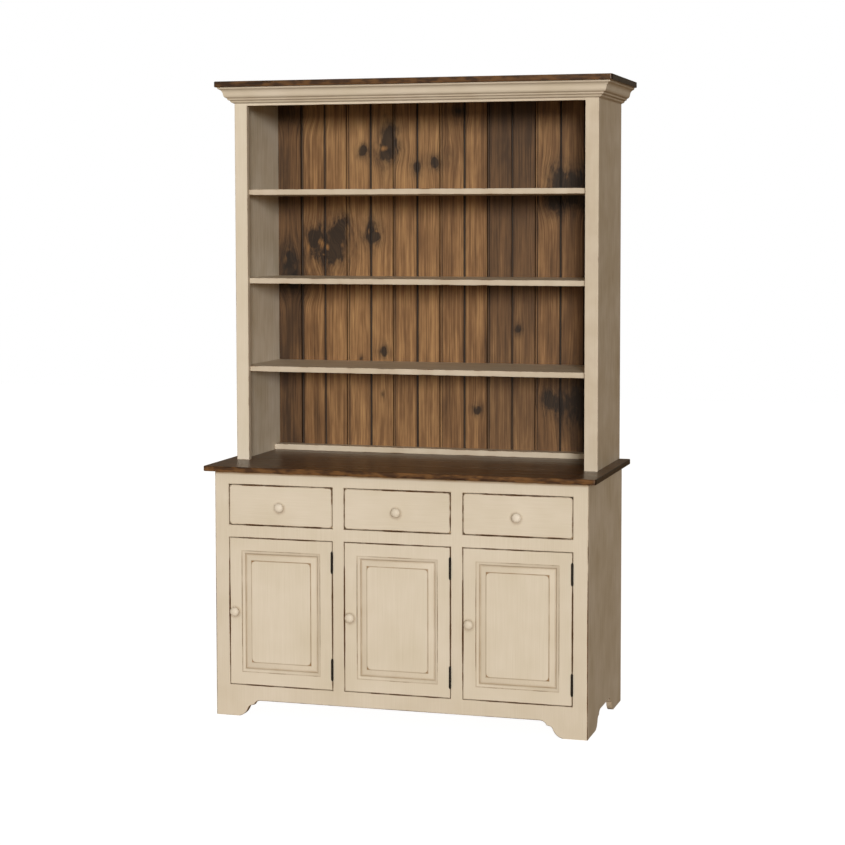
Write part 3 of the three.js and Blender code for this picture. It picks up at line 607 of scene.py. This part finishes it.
def faceFrame(name, members, material):
    # boards of one face frame, filled and painted as one front
    piece = gluedCopy(name, members)
    corners = [Vector(corner) for corner in piece.bound_box]
    front = min(corner.y for corner in corners)
    top = max(corner.z for corner in corners)
    foot = min(corner.z for corner in corners)
    side = max(corner.x for corner in corners)
    unit = name.split("_")[0]
    roundEdges(piece, {**boardLook, "round": boardLook["outerRound"]},
               lambda mid: mid.y < front + near and abs(mid.x) > side - near, [])
    roundEdges(piece, boardLook, lambda mid: mid.y < front + near and foot + near < mid.z < top - near
               and abs(mid.x) < side - 2 * boardLook["outerRound"], [(0, -1, 0)])
    # the base frame is cut where the painted shadow under the counter fades out
    if unit == "base":
        editAll(piece)
        bpy.ops.mesh.bisect(plane_co=(0, 0, top - boardLook["shadowUnderCounter"]["drop"]), plane_no=(0, 0, 1))
        objectMode()
    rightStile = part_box("hutch_stile_right")
    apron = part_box("base_apron")

    def pooledAt(co):
        # glaze and painted shade on the edges inside the openings, a painted shadow under the counter,
        # painted shade on the apron, and the hutch's right stile browner
        if co.y > front + 0.5 * boardLook["round"] and abs(co.x) < side - near:
            return boardLook["glazeAndShadeInOpenings"][unit]
        if unit == "base":
            band = boardLook["shadowUnderCounter"]
            if co.z > top - band["drop"]:
                return band["glaze"] * (co.z - top + band["drop"]) / band["drop"]
            return boardLook["shadeOnApron"] if co.z < apron[1].z else 0
        return boardLook["browner"] if co.x > rightStile[0].x - near else 0

    pointValues(piece, "pooled", pooledAt)
    # the feet are knocked and scuffed along their scrolls, and the hutch is out of reach of most knocks
    rubbed = piece.data.attributes["rubbed"].data
    for i, vertex in enumerate(piece.data.vertices):
        low = unit == "base" and vertex.co.z < apron[1].z - boardLook["ring"]
        rubbed[i].value *= boardLook["footRub"] if low else boardLook["rub"][unit]
    smooth(piece)
    place(piece, "root", "cream_paint", material, members)


def caseSide(unit, side, outward):
    name = f"{unit}_side_{side}"
    piece = cleanCopy(name + "_board", name)
    low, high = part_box(name)
    outer = high.x if outward > 0 else low.x
    roundEdges(piece, boardLook,
               lambda mid: abs(mid.x - outer) < near and mid.y > low.y + near and mid.z < high.z - near,
               [(outward, 0, 0)])

    def pooledAt(co):
        # painted shade on the outer face, and painted shade in the arch between the feet
        if abs(co.x - outer) < near:
            return boardLook["shadeOnSides"][unit]
        return boardLook["shadeInArch"] if unit == "base" and co.z < boardLook["arch"] else 0

    pointValues(piece, "pooled", pooledAt)
    smooth(piece)
    place(piece, "root", "cream_paint", paintSide, [name])


faceFrame("base_face_frame", ["base_stile_left", "base_stile_right", "base_top_rail", "base_middle_rail",
                              "base_mullion_left", "base_mullion_right", "base_apron"], paintFrame)
faceFrame("hutch_face_frame", ["hutch_stile_left", "hutch_stile_right", "hutch_top_rail"], paintUp)
for unit in ("base", "hutch"):
    caseSide(unit, "left", -1)
    caseSide(unit, "right", 1)
print("case made")


def shelfBoard(name):
    piece = cleanCopy(name + "_board", name)
    low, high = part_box(name)
    roundEdges(piece, shelfLook, lambda mid: mid.y < low.y + near and abs(mid.x) < high.x - near,
               [(0, -1, 0), (0, 0, 1), (0, 0, -1)])
    # the shelves are browner all over
    pointValues(piece, "pooled", lambda co: shelfLook["browner"])
    smooth(piece)
    place(piece, "root", "cream_paint", paintAcross, [name])


for name in ("hutch_shelf_1", "hutch_shelf_2", "hutch_shelf_3", "hutch_back_cleat"):
    shelfBoard(name)
print("shelves made")

# Crown moulding: glaze pools in the quirks of its section, which are shares of the way down from its top

crownLook = {"quirks": {0.12: 0.25, 0.675: 0.55, 0.835: 0.55, 1: 0.25}, "reach": 0.03, "elsewhere": 0.14}


def crownLength(name):
    piece = cleanCopy(name + "_moulding", name)
    low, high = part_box(name)
    drop = high.z - low.z

    def pooledAt(co):
        down = (high.z - co.z) / drop
        found = [glaze for quirk, glaze in crownLook["quirks"].items()
                 if abs(down - quirk) < crownLook["reach"]]
        return max(found, default=crownLook["elsewhere"])

    pointValues(piece, "pooled", pooledAt)
    smooth(piece, 30)
    place(piece, "root", "cream_paint", paintAcross if name == "crown_front" else paintDeep, [name])


for name in ("crown_front", "crown_left", "crown_right"):
    crownLength(name)

# Counter and cap board

topLook = {"corner": 8 * mm, "cornerSteps": 4, "edge": 2.6 * mm, "edgeSteps": 4, "ring": 1.2 * mm,
           "onEnds": 1, "onFronts": {"counter_top": 0.28, "cap_board": 0.45}}


def stainedTop(name):
    low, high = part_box(name)
    piece = boxPiece(name + "_stained", low, high)
    pick(piece, "EDGE", lambda mid, run: abs(run.z) > near)
    bpy.ops.mesh.bevel(offset=topLook["corner"], segments=topLook["cornerSteps"], affect="EDGES")
    objectMode()
    roundEdges(piece, {"round": topLook["edge"], "steps": topLook["edgeSteps"], "ring": topLook["ring"]},
               lambda mid: abs(mid.z - low.z) < near or abs(mid.z - high.z) < near, [(0, 0, 1)])

    def pooledAt(co):
        # end grain takes much more stain, and the front edges some more
        if abs(co.x) > high.x - topLook["edge"]:
            return topLook["onEnds"]
        return topLook["onFronts"][name] if co.y < low.y + topLook["edge"] else 0

    pointValues(piece, "pooled", pooledAt)
    smooth(piece)
    place(piece, "root", "walnut_stain", walnut, [name])


for name in ("counter_top", "cap_board"):
    stainedTop(name)
print("crown and tops made")

# Back of the hutch: boards with a bead at each joint and a plain groove down each board's middle

# Each bend across a groove: (mm from its middle, depth in mm, pooled stain). None means the bead's stain.
backLook = {
    "cover": 175.2 * mm, "joint": 0.02 * mm, "slit": -4.2 * mm, "offCentre": -6.8 * mm, "eased": 1.2 * mm,
    "endStain": 0.3,
    "beaded": [(-16, 0, 0), (-9, 0, 0.12), (-5.8, 0, 0.4), (-4.8, 3.4, 1), (-3.6, 3.4, 1), (-2.8, 1.1, 0.4),
               (-1.4, 0.2, None), (1.4, 0.2, None), (2.8, 1.1, 0.4), (3.6, 3.4, 1), (4.8, 3.4, 1),
               (5.8, 0, 0.4), (9, 0, 0.12), (16, 0, 0)],
    "plain": [(-14, 0, 0), (-7, 0, 0.14), (-3.8, 0, 0.45), (-2.6, 3, 1), (-0.9, 4.2, 1), (0.9, 4.2, 1),
              (2.6, 3, 1), (3.8, 0, 0.45), (7, 0, 0.14), (14, 0, 0)],
}
# how much stain each groove holds from left to right, and the bead in it; the even ones are joints
grooveStains = {-6: (1, 1), -5: (0.9, 0), -4: (0.8, 0.05), -3: (1, 0), -2: (0.65, 0.45), -1: (1, 0),
                0: (0.8, 0.05), 1: (1, 0), 2: (0.9, 0.5), 3: (0.85, 0), 4: (0.85, 0.1), 5: (1, 0),
                6: (1, 0.5)}
# each board's own stain, from left to right: how light it took, how far towards cold brown, and how much
# lighter it gets for each metre up, partly its own tone and partly painted light in the shaded upper bays
boardStains = [(-0.16, 0.1, 0.1), (0.02, 0, 0.08), (0.08, 0, 0.05), (0.05, 0, 0.05), (0.01, 0, 0.05),
               (-0.1, 0.3, -0.22), (-0.03, 0.05, 0.05), (-0.08, 0.1, 0)]


def backBoard(index, start, end):
    # a plane cut where its face bends, its grooves pushed back, then given the board's thickness
    low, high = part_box("hutch_back")
    piece = uprightPlane(f"hutch_back_board_{index + 1}", end - start, high.z - low.z,
                         ((start + end) / 2, low.y, (low.z + high.z) / 2))
    cuts = {}
    for k, (grooveStain, beadStain) in grooveStains.items():
        middle = k * backLook["cover"] / 2 + backLook["offCentre"]
        for across, deep, pooled in backLook["plain" if k % 2 else "beaded"]:
            cuts[middle + across * mm] = (deep * mm, beadStain if pooled is None else pooled * grooveStain)
    inside = {across: cut for across, cut in cuts.items() if start + near < across < end - near}
    for across in inside:
        editAll(piece)
        bpy.ops.mesh.bisect(plane_co=(across, 0, 0), plane_no=(1, 0, 0))
    objectMode()
    joint = (max(deep for deep, pooled in cuts.values()), 1)
    inside[start] = joint if index else (0, backLook["endStain"])
    inside[end] = joint if index < len(edges) - 2 else (0, backLook["endStain"])

    def cutAt(co):
        return next((cut for across, cut in inside.items() if abs(co.x - across) < near / 2), (0, 0))

    for vertex in piece.data.vertices:
        vertex.co.y += cutAt(vertex.co)[0]
    pointValues(piece, "pooled", lambda co: cutAt(co)[1])
    pick(piece, "FACE", lambda centre, normal: True)
    bpy.ops.mesh.extrude_region_move(TRANSFORM_OT_translate={"value": (0, high.y - low.y, 0)})
    objectMode()
    # the rear is flat, with eased edges at the joints
    for vertex in piece.data.vertices:
        if vertex.select:
            atJoint = min(vertex.co.x - start, end - vertex.co.x) < near
            vertex.co.y = high.y - (backLook["eased"] if atJoint else 0)
            piece.data.attributes["pooled"].data[vertex.index].value = atJoint
    editAll(piece)
    bpy.ops.mesh.normals_make_consistent(inside=False)
    objectMode()
    smooth(piece, 50)
    pine = stainedPine(f"knotty_pine_{index + 1}", start, end, *boardStains[index], index)
    return place(piece, "root", "stained_pine", pine)


low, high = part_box("hutch_back")
joints = [k * backLook["cover"] + backLook["offCentre"] + backLook["slit"] for k in range(-3, 4)]
edges = [low.x] + joints + [high.x]
backBoards = [backBoard(k, edges[k] + backLook["joint"] / 2, edges[k + 1] - backLook["joint"] / 2)
              for k in range(len(edges) - 1)]
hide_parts("hutch_back")
print("back boards made")

# Drawer fronts

drawerLook = {"corner": 11.5 * mm, "cornerSteps": 8, "round": 2.2 * mm, "steps": 3, "ring": 5 * mm,
              "glazeAndShadeOnEdges": 0.95}


def drawerFront():
    low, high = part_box("drawer_left_front")
    piece = boxPiece("drawer_left_front_board", low, high)
    pick(piece, "EDGE", lambda mid, run: abs(run.y) > near)
    bpy.ops.mesh.bevel(offset=drawerLook["corner"], segments=drawerLook["cornerSteps"], affect="EDGES")
    objectMode()
    combine(piece, "DIFFERENCE", cleanCopy("dovetails", "drawer_left_box"))
    roundEdges(piece, drawerLook, lambda mid: mid.y < low.y + near, [(0, -1, 0)])
    # the drawer front's sides, in the gap round it, are dark with glaze and painted shade
    edgeFrom = low.y + drawerLook["round"] - near
    pointValues(piece, "pooled", lambda co: drawerLook["glazeAndShadeOnEdges"] if co.y > edgeFrom else 0)
    smooth(piece)
    return piece


front = drawerFront()
for side in sideNames:
    node = f"drawer_{side}_front"
    piece = copyTo(front, node + "_board", "drawer_left_front", node)
    place(piece, "drawer_" + side, "cream_paint", paintDrawer, [node])
print("drawer fronts made")

# Doors: the steps across the mitred frame and the raised panel are (inset, depth, rubbed, pooled), in mm
# from the door's edge and its front face

doorSteps = {
    "frame": [
        # the door's edge faces, in the gap round it, are dark with glaze and painted shade (pooled 0.95)
        (0, 18.5, 0, 0.95), (0, 5.5, 0, 0.95), (0, 1, 1, 0.8), (0.3, 0.3, 1, 0), (1, 0, 1, 0),
        (5.5, 0, 0, 0), (40, 0, 0, 0), (43, 0, 0.9, 0.1), (44, 0.2, 1, 0.5), (44, 1.1, 0.5, 0.8),
        (45, 1.15, 0, 0.32), (47, 1.45, 0, 0.14), (49.5, 2.2, 0, 0.1), (52, 3.6, 0, 0.12),
        (54, 5.6, 0, 0.3), (55, 7.8, 0, 0.65), (55, 8.9, 0, 0.85),
        (46, 8.9, 0, 0), (46, 14.9, 0, 0), (55, 14.9, 0, 0), (55, 18, 0, 0), (54.5, 18.5, 0, 0),
    ],
    "panel": [
        (46.3, 14.6, 0, 0), (46.3, 9.2, 0, 0), (55, 9.2, 0, 0.8), (58, 8.37, 0, 0.34), (63, 7, 0, 0.07),
        (75, 3.7, 0, 0.05), (78, 3.3, 0, 1),
    ],
    "field": [(0, 1.9, 0, 0.9), (0.4, 1.3, 0, 0.6), (1.2, 1.2, 0, 0.15), (3.5, 1.2, 0, 0), (16, 1.2, 0, 0)],
    "cornerGlaze": 0.9, "fieldCorner": 14 * mm, "fieldCornerSteps": 6,
}


def ringStep(centre, size, before, after):
    # turns the last ring into the next one, by size and by depth
    scale = [(extent - 2 * after[0] * mm) / (extent - 2 * before[0] * mm) for extent in size]
    bpy.ops.transform.resize(value=(scale[0], 1, scale[1]), center_override=centre)
    bpy.ops.transform.translate(value=(0, (after[1] - before[1]) * mm, 0))


def stepValues(piece, centre, size, front, steps):
    def found(co):
        inset = min(size[0] / 2 - abs(co.x - centre.x), size[1] / 2 - abs(co.z - centre.z)) / mm
        deep = (co.y - front) / mm
        return min(steps, key=lambda step: abs(step[0] - inset) + abs(step[1] - deep))

    pointValues(piece, "rubbed", lambda co: found(co)[2])
    pointValues(piece, "pooled", lambda co: found(co)[3])


def doorBox():
    low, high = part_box("door_left_frame")
    return low, high, (low + high) / 2, (high.x - low.x, high.z - low.z)


def doorFrame():
    low, high, centre, size = doorBox()
    steps = doorSteps["frame"]
    middle = (centre.x, low.y + steps[0][1] * mm, centre.z)
    piece = uprightPlane("door_left_moulded_frame", *size, middle)
    editAll(piece)
    bpy.ops.mesh.select_mode(type="EDGE")
    bpy.ops.mesh.delete(type="ONLY_FACE")
    bpy.ops.mesh.select_all(action="SELECT")
    for before, after in zip(steps, steps[1:] + steps[:1]):
        bpy.ops.mesh.extrude_edges_move()
        ringStep(centre, size, before, after)
    bpy.ops.mesh.select_all(action="SELECT")
    bpy.ops.mesh.remove_doubles(threshold=merged)
    bpy.ops.mesh.normals_make_consistent(inside=False)
    objectMode()
    stepValues(piece, centre, size, low.y, steps)
    smooth(piece, 35)
    return piece


def doorPanel():
    low, high, centre, size = doorBox()
    front = low.y
    steps = doorSteps["panel"]
    back, rim = [(step[0] * mm, front + step[1] * mm) for step in steps[:2]]
    piece = boxPiece("door_left_raised_panel", (low.x + rim[0], rim[1], low.z + rim[0]),
                     (high.x - rim[0], back[1], high.z - rim[0]))
    pick(piece, "FACE", lambda at, normal: normal.y < -0.5)
    for before, after in zip(steps[1:], steps[2:]):
        bpy.ops.mesh.extrude_region_move()
        ringStep(centre, size, before, after)
    objectMode()
    stepValues(piece, centre, size, front, steps)

    # the field stands up again inside the deep line, with rounded corners
    inset, deep = steps[-1][0] * mm, front + steps[-1][1] * mm
    corner = doorSteps["fieldCorner"]
    pick(piece, "VERT", lambda co: abs(co.y - deep) < near)
    bpy.ops.mesh.bevel(offset=corner, segments=doorSteps["fieldCornerSteps"], affect="VERTICES")
    pick(piece, "FACE", lambda at, normal: normal.y < -0.99 and abs(at.y - deep) < near
         and abs(at.x - centre.x) < near)
    fieldSize = (size[0] - 2 * inset, size[1] - 2 * inset)
    field = doorSteps["field"]
    last = (0, steps[-1][1])
    for after in field:
        bpy.ops.mesh.extrude_region_move()
        ringStep(centre, fieldSize, last, after)
        last = after
    objectMode()
    layer = {key: piece.data.attributes[key].data for key in ("rubbed", "pooled")}
    for i, vertex in enumerate(piece.data.vertices):
        deepHere = (vertex.co.y - front) / mm
        if deepHere < steps[-1][1] - 0.01:
            offsets = [abs(vertex.co[axis] - centre[axis]) for axis in (0, 2)]
            reach = min(fieldSize[0] / 2 - offsets[0], fieldSize[1] / 2 - offsets[1]) / mm
            step = min(field, key=lambda step: abs(step[0] - reach) + abs(step[1] - deepHere))
            beyond = min(offset - size / 2 + corner for offset, size in zip(offsets, fieldSize))
            atCorner = doorSteps["cornerGlaze"] if beyond > corner / 5 and step[0] < 2 else 0
            layer["rubbed"][i].value = step[2]
            layer["pooled"][i].value = max(step[3], atCorner)
    smooth(piece, 35)
    return piece


doorParts = [("frame", "moulded_frame", doorFrame()), ("panel", "raised_panel", doorPanel())]
for side in sideNames:
    for part, made, model in doorParts:
        node = f"door_{side}_{part}"
        piece = copyTo(model, f"door_{side}_{made}", "door_left_" + part, node)
        place(piece, "door_" + side, "cream_paint", paintDoor, [node])
print("doors made")

# Knobs, turned and painted a lighter cream: (share of radius, share of projection)

knobLook = {
    "outline": [(0.6, 0), (0.62, 0.03), (0.6, 0.08), (0.5, 0.14), (0.42, 0.22), (0.4, 0.3), (0.45, 0.38),
                (0.6, 0.43), (0.8, 0.47), (0.93, 0.52), (0.99, 0.58), (1, 0.63), (0.98, 0.7), (0.91, 0.78),
                (0.79, 0.86), (0.62, 0.93), (0.42, 0.975), (0.2, 0.995), (0, 1)],
    "turns": 40, "glazed": 0.42,
}


def turnedKnob():
    low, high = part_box("drawer_left_knob")
    radius, out = (high.x - low.x) / 2, high.y - low.y
    centre = Vector(((low.x + high.x) / 2, high.y, (low.z + high.z) / 2))
    points = [centre + Vector((across * radius, -along * out, 0)) for across, along in knobLook["outline"]]
    mesh = bpy.data.meshes.new("knob")
    mesh.from_pydata([centre] + points, [(i, i + 1) for i in range(len(points))], [])
    piece = meshPiece("drawer_left_knob_turned", mesh)
    pick(piece, "EDGE", lambda mid, run: True)
    bpy.ops.mesh.spin(steps=knobLook["turns"], angle=2 * pi, center=centre, axis=(0, 1, 0))
    bpy.ops.mesh.select_all(action="SELECT")
    bpy.ops.mesh.remove_doubles(threshold=merged / 2)
    bpy.ops.mesh.normals_make_consistent(inside=False)
    objectMode()
    pointValues(piece, "pooled", lambda co: max(0, 1 - (centre.y - co.y) / out / knobLook["glazed"]))
    activate(piece)
    bpy.ops.object.shade_smooth_by_angle(angle=radians(60))
    return piece


paintKnob = creamPaint("cream_paint_knob", "Y", fresh={"cream": "#e5ddcf", "creamShade": "#d4cab7"})
knob = turnedKnob()
for side in sideNames:
    for kind in ("drawer", "door"):
        node = f"{kind}_{side}_knob"
        piece = copyTo(knob, node + "_turned", "drawer_left_knob", node)
        place(piece, f"{kind}_{side}", "cream_paint", paintKnob, [node])
print("knobs made")

# Hinge screws: three slotted heads in each leaf, sunk until they are all but flush

screwLook = {"radius": 2.9 * mm, "proud": 0.15 * mm, "slot": 0.8 * mm, "rows": (4.6 * mm, 8.6 * mm),
             "pitch": 21 * mm, "leafFace": 0.2 * mm, "corners": 24, "slotOut": 1.2}


def hingeScrews(leaf):
    # the leaf's open face is just off the pin, on the side that faces away from its board
    look = screwLook
    low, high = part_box(f"hinge_left_upper_{leaf}_leaf")
    facing = -1 if leaf == "frame" else 1
    face = (low.x + high.x) / 2 - facing * look["leafFace"]
    heads = []
    for k in (-1, 0, 1):
        at = Vector((face, high.y - look["rows"][k % 2], (low.z + high.z) / 2 + k * look["pitch"]))
        bpy.ops.object.select_all(action="DESELECT")
        bpy.ops.mesh.primitive_cylinder_add(vertices=look["corners"], radius=look["radius"],
                                            depth=2 * look["proud"], rotation=(0, pi / 2, 0), location=at)
        head = bpy.context.object
        bpy.ops.object.transform_apply()
        reach = Vector((look["proud"], 2 * look["radius"], look["slot"] / 2))
        middle = at + Vector((facing * look["slotOut"] * look["proud"], 0, 0))
        combine(head, "DIFFERENCE", boxPiece("slot", middle - reach, middle + reach))
        heads.append(head)
    activate(heads[0])
    for head in heads:
        head.select_set(True)
    bpy.ops.object.join()
    heads[0].name = f"hinge_left_upper_{leaf}_screws"
    smooth(heads[0])
    return heads[0]


screws = {leaf: hingeScrews(leaf) for leaf in ("frame", "door")}
leaves = [(side, level, leaf) for side in sideNames for level in ("upper", "lower") for leaf in screws]
for side, level, leaf in leaves:
    hinge = f"hinge_{side}_{level}_{leaf}"
    piece = copyTo(screws[leaf], hinge + "_screws", f"hinge_left_upper_{leaf}_leaf", hinge + "_leaf")
    place(piece, "root" if leaf == "frame" else "door_" + side, "black_iron", iron)
print("hinge screws made")

# Drawer boxes: the sides' grain runs front to back, the front's and back's from side to side


def drawerBox(side):
    # the faces that look front or back are those of the boards across the drawer
    name = f"drawer_{side}_box"
    piece = cleanCopy(name + "_boards", name)
    layer = piece.data.attributes.new("turned", "FLOAT", "FACE")
    for i, face in enumerate(piece.data.polygons):
        layer.data[i].value = abs(face.normal.y) > 0.5
    place(piece, "drawer_" + side, "bare_wood", bareDeep, [name])


for side in sideNames:
    drawerBox(side)
print("drawer boxes made")

# What stays as model.glb has it gets its finish

kept = {
    "base_floor": bareAcross, "base_inner_shelf": bareAcross, "base_back": bareAcross,
    "drawer_runner_frame": bareDeep, "drawer_kicker_left": bareDeep, "drawer_kicker_right": bareDeep,
}
for side, level, leaf in leaves:
    kept[f"hinge_{side}_{level}_{leaf}_leaf"] = iron
for name, material in kept.items():
    nodes[name].data.materials.clear()
    nodes[name].data.materials.append(material)

# Floor, lights and camera

floorLook = {"half": 12, "own": 0.3, "glow": 0.95, "bounce": "#8a7358", "lift": 0.25}


def studioFloor():
    # the camera sees it almost white, and the object gets the warm light of a room from it
    bpy.ops.object.select_all(action="DESELECT")
    bpy.ops.mesh.primitive_plane_add(size=2 * floorLook["half"], location=(0, 0, 0))
    floor = bpy.context.object
    floor.name = "studio_floor"
    material = bpy.data.materials.new("pale_floor")
    material.use_nodes = True
    tree = material.node_tree
    seen = addNode(tree, "LightPath", output="Is Camera Ray")
    shade = addNode(tree, "BsdfDiffuse", {"Color": [floorLook["own"]] * 3 + [1]})
    glow = addNode(tree, "Emission", {"Strength": floorLook["glow"]})
    shown = addNode(tree, "AddShader", [shade, glow])
    bounce = addNode(tree, "BsdfDiffuse", {"Color": floorLook["bounce"]})
    lift = addNode(tree, "Emission", {"Color": floorLook["bounce"], "Strength": floorLook["lift"]})
    thrown = addNode(tree, "AddShader", [bounce, lift])
    both = addNode(tree, "MixShader", [seen, thrown, shown])
    setInputs(tree, tree.nodes["Material Output"], {"Surface": both})
    floor.data.materials.append(material)


worldLook = {"light": "#ead4b8", "strength": 0.22, "mirrored": 0.24}


def studioWorld():
    # white to the camera, a dim warm room to the object and its reflections
    world = bpy.data.worlds.new("studio")
    bpy.context.scene.world = world
    world.use_nodes = True
    tree = world.node_tree
    tree.nodes.clear()
    seen = addNode(tree, "LightPath", output="Is Camera Ray")
    glossy = addNode(tree, "LightPath", output="Is Glossy Ray")
    strength = addNode(tree, "MapRange", [glossy, 0, 1, worldLook["strength"], worldLook["mirrored"]])
    lit = addNode(tree, "Background", {"Color": worldLook["light"], "Strength": strength})
    white = addNode(tree, "Background", {"Color": [1, 1, 1, 1], "Strength": 1})
    both = addNode(tree, "MixShader", [seen, lit, white])
    setInputs(tree, tree.nodes.new("ShaderNodeOutputWorld"), {"Surface": both})


# Each lamp: how far round and how high its light comes from, strength, spread and tint; angles in degrees.
lamps = {"key": (19, 8.2, 2.3, 12, "#fffdfa"), "fill": (2, -6, 0.92, 100, "#fff1dd"),
         "rear": (-118, 15, 0.9, 60, "#fff4e4")}


def sunLamp(name, azimuth, elevation, strength, spread, tint):
    lamp = bpy.data.lights.new(name, "SUN")
    lamp.color = colour(tint)[:3]
    lamp.energy = strength
    lamp.angle = radians(spread)
    thing = bpy.data.objects.new(name, lamp)
    bpy.context.scene.collection.objects.link(thing)
    a, e = radians(azimuth), radians(elevation)
    source = Vector((sin(a) * cos(e), -cos(a) * cos(e), sin(e)))
    thing.rotation_euler = source.to_track_quat("Z", "Y").to_euler()


cameraLook = {"at": (1.9676, -6.4439, 1.6848), "down": 3.798, "turned": 15.659, "lens": 83.54,
              "shift": (-0.0501, -0.0813)}


def studioCamera():
    camera = bpy.data.cameras.new("camera")
    camera.lens = cameraLook["lens"]
    camera.sensor_width = 36
    camera.shift_x, camera.shift_y = cameraLook["shift"]
    thing = bpy.data.objects.new("camera", camera)
    bpy.context.scene.collection.objects.link(thing)
    thing.location = cameraLook["at"]
    thing.rotation_euler = (radians(90 - cameraLook["down"]), 0, radians(cameraLook["turned"]))
    bpy.context.scene.camera = thing


studioFloor()
studioWorld()
for name, look in lamps.items():
    sunLamp(name, *look)
studioCamera()
bpy.context.scene.view_settings.view_transform = "Standard"
print("stage made")
